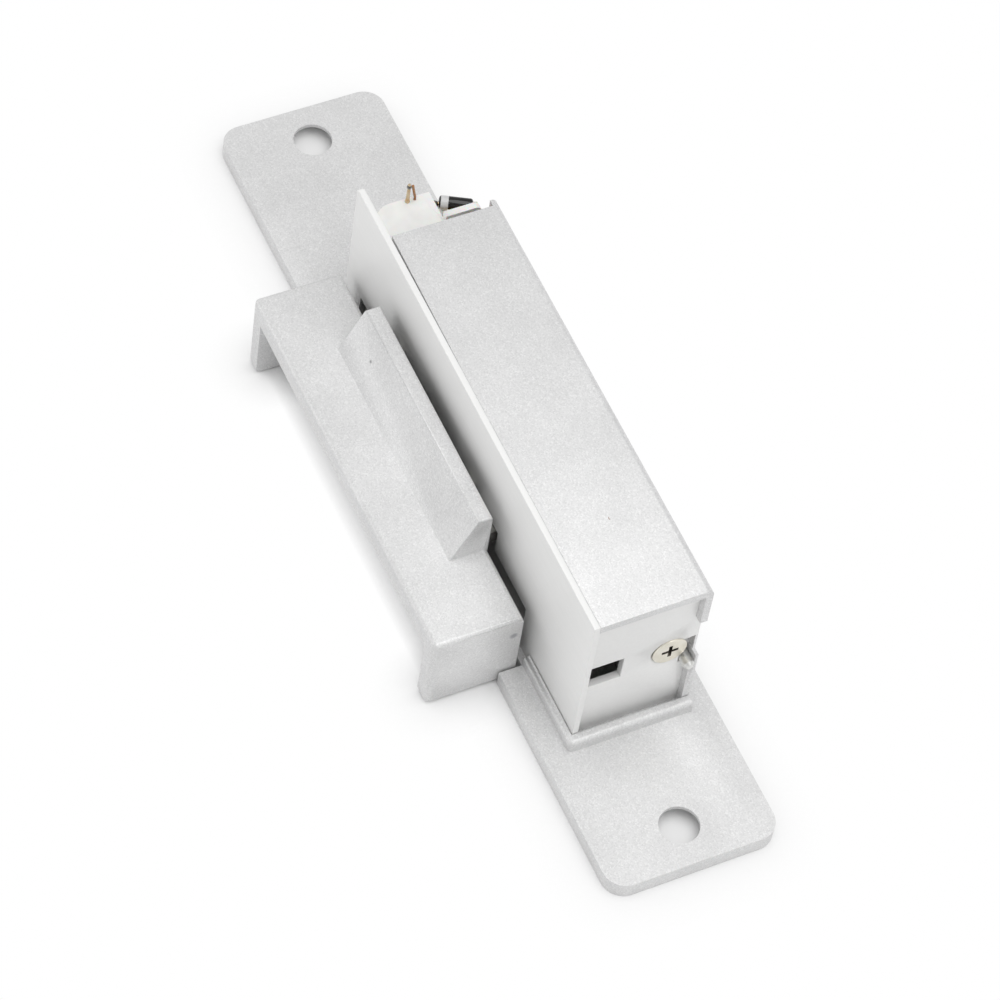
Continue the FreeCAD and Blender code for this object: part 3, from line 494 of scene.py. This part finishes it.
def cross_screw(node, top, toward, deep, long):
    """A countersunk screw whose head's top faces a way, in place of the node's plain one."""
    screw = turned(node + "_dressed", [
        (SHANK_R - TIP_IN, -long), (SHANK_R, -long + TIP_HIGH), (SHANK_R, -deep), (HEAD_R, -RIM_HIGH),
        (HEAD_R, -EDGE), (HEAD_R - EDGE, 0)])
    for along in ("X", "Y"):
        cutter = recess_cutter(along)
        only(screw)
        bite = screw.modifiers.new("recess", "BOOLEAN")
        bite.object = cutter
        bite.operation = "DIFFERENCE"
        bpy.ops.object.modifier_apply(modifier="recess")
        bpy.data.objects.remove(cutter)
    recess = []
    for face in screw.data.polygons:
        inner = screw.matrix_world @ face.center
        if inner.xy.length < RECESS_TOP * MM and -RECESS_DEEP * MM < inner.z < -RECESS_SKIN * MM:
            recess.append(face.index)
    settled(screw, top, toward, nickel)
    # The recess faces get the painted shade.
    screw.data.materials.append(recess_painted_shade)
    for index in recess:
        screw.data.polygons[index].material_index = 1
    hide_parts(node)
    print(node, "faces:", len(screw.data.polygons), "of them in the recess:", len(recess))


end_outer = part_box("end_screw")[1][0]
end_top = Vector((end_outer, middle("end_screw")[1], middle("end_screw")[2]))
cross_screw("end_screw", end_top, (1, 0, 0), deep=1.35, long=8.0)
for node in ("front_screw_near", "front_screw_far"):
    front_top = Vector((middle(node)[0], middle(node)[1], 0))
    cross_screw(node, front_top, (0, 0, -1), deep=1.5, long=9.0)

# %% [markdown]
# ## Diode
# The diode's epoxy body has the same round shoulder at both ends, so one list of points serves twice.
# A silver band stands a hair proud of it near one end.

# %% Diode body and band
DIODE_R, DIODE_LONG, DIODE_TURN = 1.05, 5.3, math.radians(28)
BAND_PROUD, BAND_EDGE, BAND_FROM, BAND_TO = 0.012, 0.03, 0.3, 1.5
shoulder = [(0.6, 0), (0.85, 0.08), (DIODE_R - 0.04, 0.25), (DIODE_R, 0.45)]
far_shoulder = [(radius, DIODE_LONG - height) for radius, height in reversed(shoulder)]
diode_way = Vector((math.sin(DIODE_TURN), math.cos(DIODE_TURN), 0))
diode_end = middle("flyback_diode") - diode_way * (DIODE_LONG / 2 * MM)
diode = turned("diode_body", shoulder + far_shoulder)
settled(diode, diode_end, diode_way, epoxy)
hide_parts("flyback_diode")
band_r = DIODE_R + BAND_PROUD
band = turned("diode_band", [
    (band_r - BAND_EDGE, BAND_FROM), (band_r, BAND_FROM + BAND_EDGE),
    (band_r, BAND_TO - BAND_EDGE), (band_r - BAND_EDGE, BAND_TO)])
settled(band, diode_end, diode_way, band_ink)

# %% [markdown]
# ## Tall pin
# The coil's tall pin stands on a thicker foot and has a small chamfer at its tip. The foot and the neck
# above it are measured down from the tip.

# %% Tall pin
FOOT_R, PIN_R, PIN_TIP_R, PIN_CHAMFER = 0.4, 0.3, 0.24, 0.1
FOOT_DOWN, NECK_DOWN = 4.2, 3.6
pin_low, pin_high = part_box("terminal_pin_left")
pin_mid = middle("terminal_pin_left")
pin_long = (pin_high[2] - pin_low[2]) / MM
pin = turned("tall_pin", [
    (FOOT_R, 0), (FOOT_R, pin_long - FOOT_DOWN), (PIN_R, pin_long - NECK_DOWN),
    (PIN_TIP_R, pin_long - PIN_CHAMFER), (PIN_TIP_R - PIN_CHAMFER, pin_long)])
settled(pin, Vector((pin_mid[0], pin_mid[1], pin_low[2])), UP, tinned)
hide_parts("terminal_pin_left")

# %% [markdown]
# ## Turns of wire
# A few turns of the coil's wire go round the tall pin. Each is a ring, tipped a little as a wound wire
# is, and sunk into the pin by part of its thickness so that no gap shows.

# %% Turns of wire round the tall pin
WIRE_R, WIRE_TURNS, WIRE_TILT = 0.11, 4, math.radians(7)
TURNS_DOWN, TURNS_PITCH, WIRE_OUT = 1.5, 0.22, 0.7
RING_SIDES, WIRE_SIDES = 32, 10
rings = []
for n in range(WIRE_TURNS):
    height = pin_high[2] - (TURNS_DOWN - TURNS_PITCH * n) * MM
    bpy.ops.mesh.primitive_torus_add(
        major_radius=(PIN_R + WIRE_R * WIRE_OUT) * MM, minor_radius=WIRE_R * MM,
        major_segments=RING_SIDES, minor_segments=WIRE_SIDES,
        location=(pin_mid[0], pin_mid[1], height), rotation=(WIRE_TILT, 0, 0))
    rings.append(bpy.context.object)
only(rings[0])
for ring in rings:
    ring.select_set(True)
bpy.ops.object.join()
wrap = bpy.context.object
wrap.name = "wire_turns"
settled(wrap, Vector((0, 0, 0)), UP, copper_wire)
print(wrap.name, "faces:", len(wrap.data.polygons))

# %% [markdown]
# ## Solder
# Melted solder pulls itself into a round bead. One holds the turns of wire at the top of the tall pin,
# and a bigger one joins the diode's lead to the low pin.

# %% Two beads of solder
BEAD_SIDES = 32
TALL_BEAD_DOWN, LOW_BEAD_BACK = 0.6, 0.35


def solder_bead(name, at, radius, stretch):
    """A bead of solder: a ball that is drawn out along the pin it sits on."""
    bpy.ops.mesh.primitive_uv_sphere_add(
        segments=BEAD_SIDES, ring_count=BEAD_SIDES // 2, radius=radius * MM, location=at)
    bead = bpy.context.object
    bead.name = name
    bpy.ops.object.mode_set(mode="EDIT")
    bpy.ops.transform.resize(value=stretch)
    bpy.ops.object.mode_set(mode="OBJECT")
    only(bead)
    bpy.ops.object.transform_apply(location=True, rotation=True, scale=True)
    bpy.ops.object.shade_smooth()
    dress(bead, solder)
    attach(bead, STRIKE)
    print(name, "faces:", len(bead.data.polygons))


tall_bead = (pin_mid[0], pin_mid[1], pin_high[2] - TALL_BEAD_DOWN * MM)
solder_bead("solder_on_tall_pin", tall_bead, radius=0.38, stretch=(1.0, 1.0, 1.3))
low_bead = middle("diode_lead_left") - Vector((0, LOW_BEAD_BACK * MM, 0))
solder_bead("solder_on_low_pin", low_bead, radius=0.62, stretch=(1.0, 1.15, 0.95))

# %% [markdown]
# ## Springs
# Two compression springs are pressed when the keeper opens: the plunger's spring by the plunger's whole
# stroke, and the lever's by what its arm drops. Each is a copy of its node, dressed in spring wire and
# handed over in the node's place with a mesh of its own. It does not shorten as its joint moves. Each
# line gives the node, its joint, its axis, where its fixed end lies on that axis in mm, and by how many
# mm it is pressed.

# %% Plunger spring and lever spring
SPRINGS = [
    ("plunger_spring", "plunger_slide", (1, 0, 0), -1.85, 3.8),
    ("lever_spring", "lever_pivot", UP, 3.0, 0.37),
]
for node, joint, axis, fixed_end, travel in SPRINGS:
    spring = stand_for(copied(node), node, STRIKE, spring_wire)
    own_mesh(spring)

# %% [markdown]
# ## The rest of the mechanism
# The other pieces are turned, punched or wound parts whose CAD shape is already right, so they keep it
# and only get their metal, wire or tape.

# %% Mechanism nodes that keep their CAD shape
PLAIN = {
    "hinge_bracket": zinc_steel, "hinge_pin": bare_steel, "lever_pin": pin_steel,
    "solenoid_yoke": zinc_steel, "fixed_core": bare_steel, "plunger": bare_steel,
    "plunger_clip": zinc_steel, "locking_lever": zinc_steel,
    "keeper_spring": spring_wire,
    "coil_winding": copper_wire, "coil_tape": coil_tape, "coil_lead": copper_wire,
    "terminal_pin_right": tinned, "diode_lead_left": tinned, "diode_lead_right": tinned,
}
for name, material in PLAIN.items():
    node = frame["nodes"][name]
    dress(node, material)
    smooth(node)
print("nodes that keep their CAD shape:", len(PLAIN))

# %% [markdown]
# ## Floor
# The part lies on its faceplate's front on plain white paper. Seen by the camera or in a reflection,
# the open floor is white. Ambient occlusion tells how open it is: over a short reach it keeps the
# shadow close to the part, and over a long one it keeps the floor dark inside the latch pocket.

# %% Floor
FLOOR_M, FLOOR_DROP_MM = 6.0, 0.02
SHADOW_REACH_MM, POCKET_REACH_MM = 8, 40
bpy.ops.object.select_all(action="DESELECT")
bpy.ops.mesh.primitive_plane_add(size=FLOOR_M, location=(0, 0, -FLOOR_DROP_MM * MM))
floor = bpy.context.object
floor.name = "floor"
floor_material, tree, shader = new_material("white paper")
shader.inputs["Base Color"].default_value = colour("#EDEDED")
shader.inputs["Roughness"].default_value = 0.9
shader.inputs["Specular IOR Level"].default_value = 0.1
path = add(tree, "ShaderNodeLightPath")
either = {0: path.outputs["Is Camera Ray"], 1: path.outputs["Is Glossy Ray"]}
seen = add(tree, "ShaderNodeMath", links=either, operation="MAXIMUM")
near_by = add(tree, "ShaderNodeAmbientOcclusion", {"Distance": SHADOW_REACH_MM * MM})
near_open = add(tree, "ShaderNodeMath", {1: 2.0}, {0: near_by.outputs["AO"]}, operation="POWER")
room = add(tree, "ShaderNodeAmbientOcclusion", {"Distance": POCKET_REACH_MM * MM})
span = {"From Min": 0.12, "From Max": 0.35}
room_open = add(tree, "ShaderNodeMapRange", span, {"Value": room.outputs["AO"]})
both = {0: near_open.outputs["Value"], 1: room_open.outputs["Result"]}
open_part = add(tree, "ShaderNodeMath", links=both, operation="MULTIPLY")
shown = {0: open_part.outputs["Value"], 1: seen.outputs["Value"]}
white_part = add(tree, "ShaderNodeMath", links=shown, operation="MULTIPLY")
white = add(tree, "ShaderNodeEmission", {"Color": colour("#FFFFFF"), "Strength": 1.0})
sources = {0: white_part.outputs["Value"], 1: shader.outputs["BSDF"], 2: white.outputs["Emission"]}
paper = add(tree, "ShaderNodeMixShader", links=sources)
tree.links.new(paper.outputs["Shader"], tree.nodes["Material Output"].inputs["Surface"])
dress(floor, floor_material)
print(floor.name, "nodes:", len(tree.nodes))

# %% [markdown]
# ## World and lamps
# A broad soft box overhead gives the even top light of a product picture. A second one fills the end
# that faces the camera, a third the keeper's side, and the pale world does the rest.

# %% World and lamps
WORLD_LIGHT = 0.58
world = bpy.data.worlds.new("studio")
scene.world = world
world.use_nodes = True
world.node_tree.nodes["Background"].inputs["Color"].default_value = colour("#FFFFFF")
world.node_tree.nodes["Background"].inputs["Strength"].default_value = WORLD_LIGHT


def soft_box(name, centre, toward, size, power):
    """A square area lamp at a point in metres, facing another, with its width in metres and its watts."""
    bpy.ops.object.light_add(type="AREA", location=centre)
    lamp = bpy.context.object
    lamp.name = name
    lamp.data.shape = "SQUARE"
    lamp.data.size = size
    lamp.data.energy = power
    lamp.rotation_euler = (Vector(toward) - Vector(centre)).to_track_quat("-Z", "Y").to_euler()
    print(name, "lamp:", power, "W")


soft_box("overhead", (0.12, 0.06, 0.85), (0, 0, 0), size=0.7, power=3.6)
soft_box("near end fill", (0.85, 0.32, 0.50), (0.02, 0, 0.01), size=0.35, power=0.8)
soft_box("keeper side fill", (-0.5, -0.85, 0.35), (0, 0, 0.01), size=0.5, power=1.2)

# %% [markdown]
# ## Camera
# The photograph was taken from above the near end with a long lens. The place, aim, roll and focal
# length below were worked out from the corners and holes that it shows, in millimetres and degrees.

# %% Camera
CAMERA_AT = Vector((340.72, -217.33, 576.50)) * MM
CAMERA_TO = Vector((4.63, 0.34, 0.0)) * MM
CAMERA_ROLL = 10.154
LENS_MM, SENSOR_MM = 163.87, 36.0
NEAREST_M = 0.01
camera_data = bpy.data.cameras.new("photo angle")
camera = bpy.data.objects.new("photo angle", camera_data)
scene.collection.objects.link(camera)
camera_data.lens = LENS_MM
camera_data.sensor_width = SENSOR_MM
camera_data.clip_start = NEAREST_M
aim = (CAMERA_TO - CAMERA_AT).to_track_quat("-Z", "Y").to_matrix()
roll = Matrix.Rotation(math.radians(CAMERA_ROLL), 3, "Z")
camera.matrix_world = Matrix.Translation(CAMERA_AT) @ (aim @ roll).to_4x4()
scene.camera = camera
scene.view_settings.view_transform = "Standard"
print("camera stands", round((CAMERA_AT - CAMERA_TO).length, 3), "m from the part")
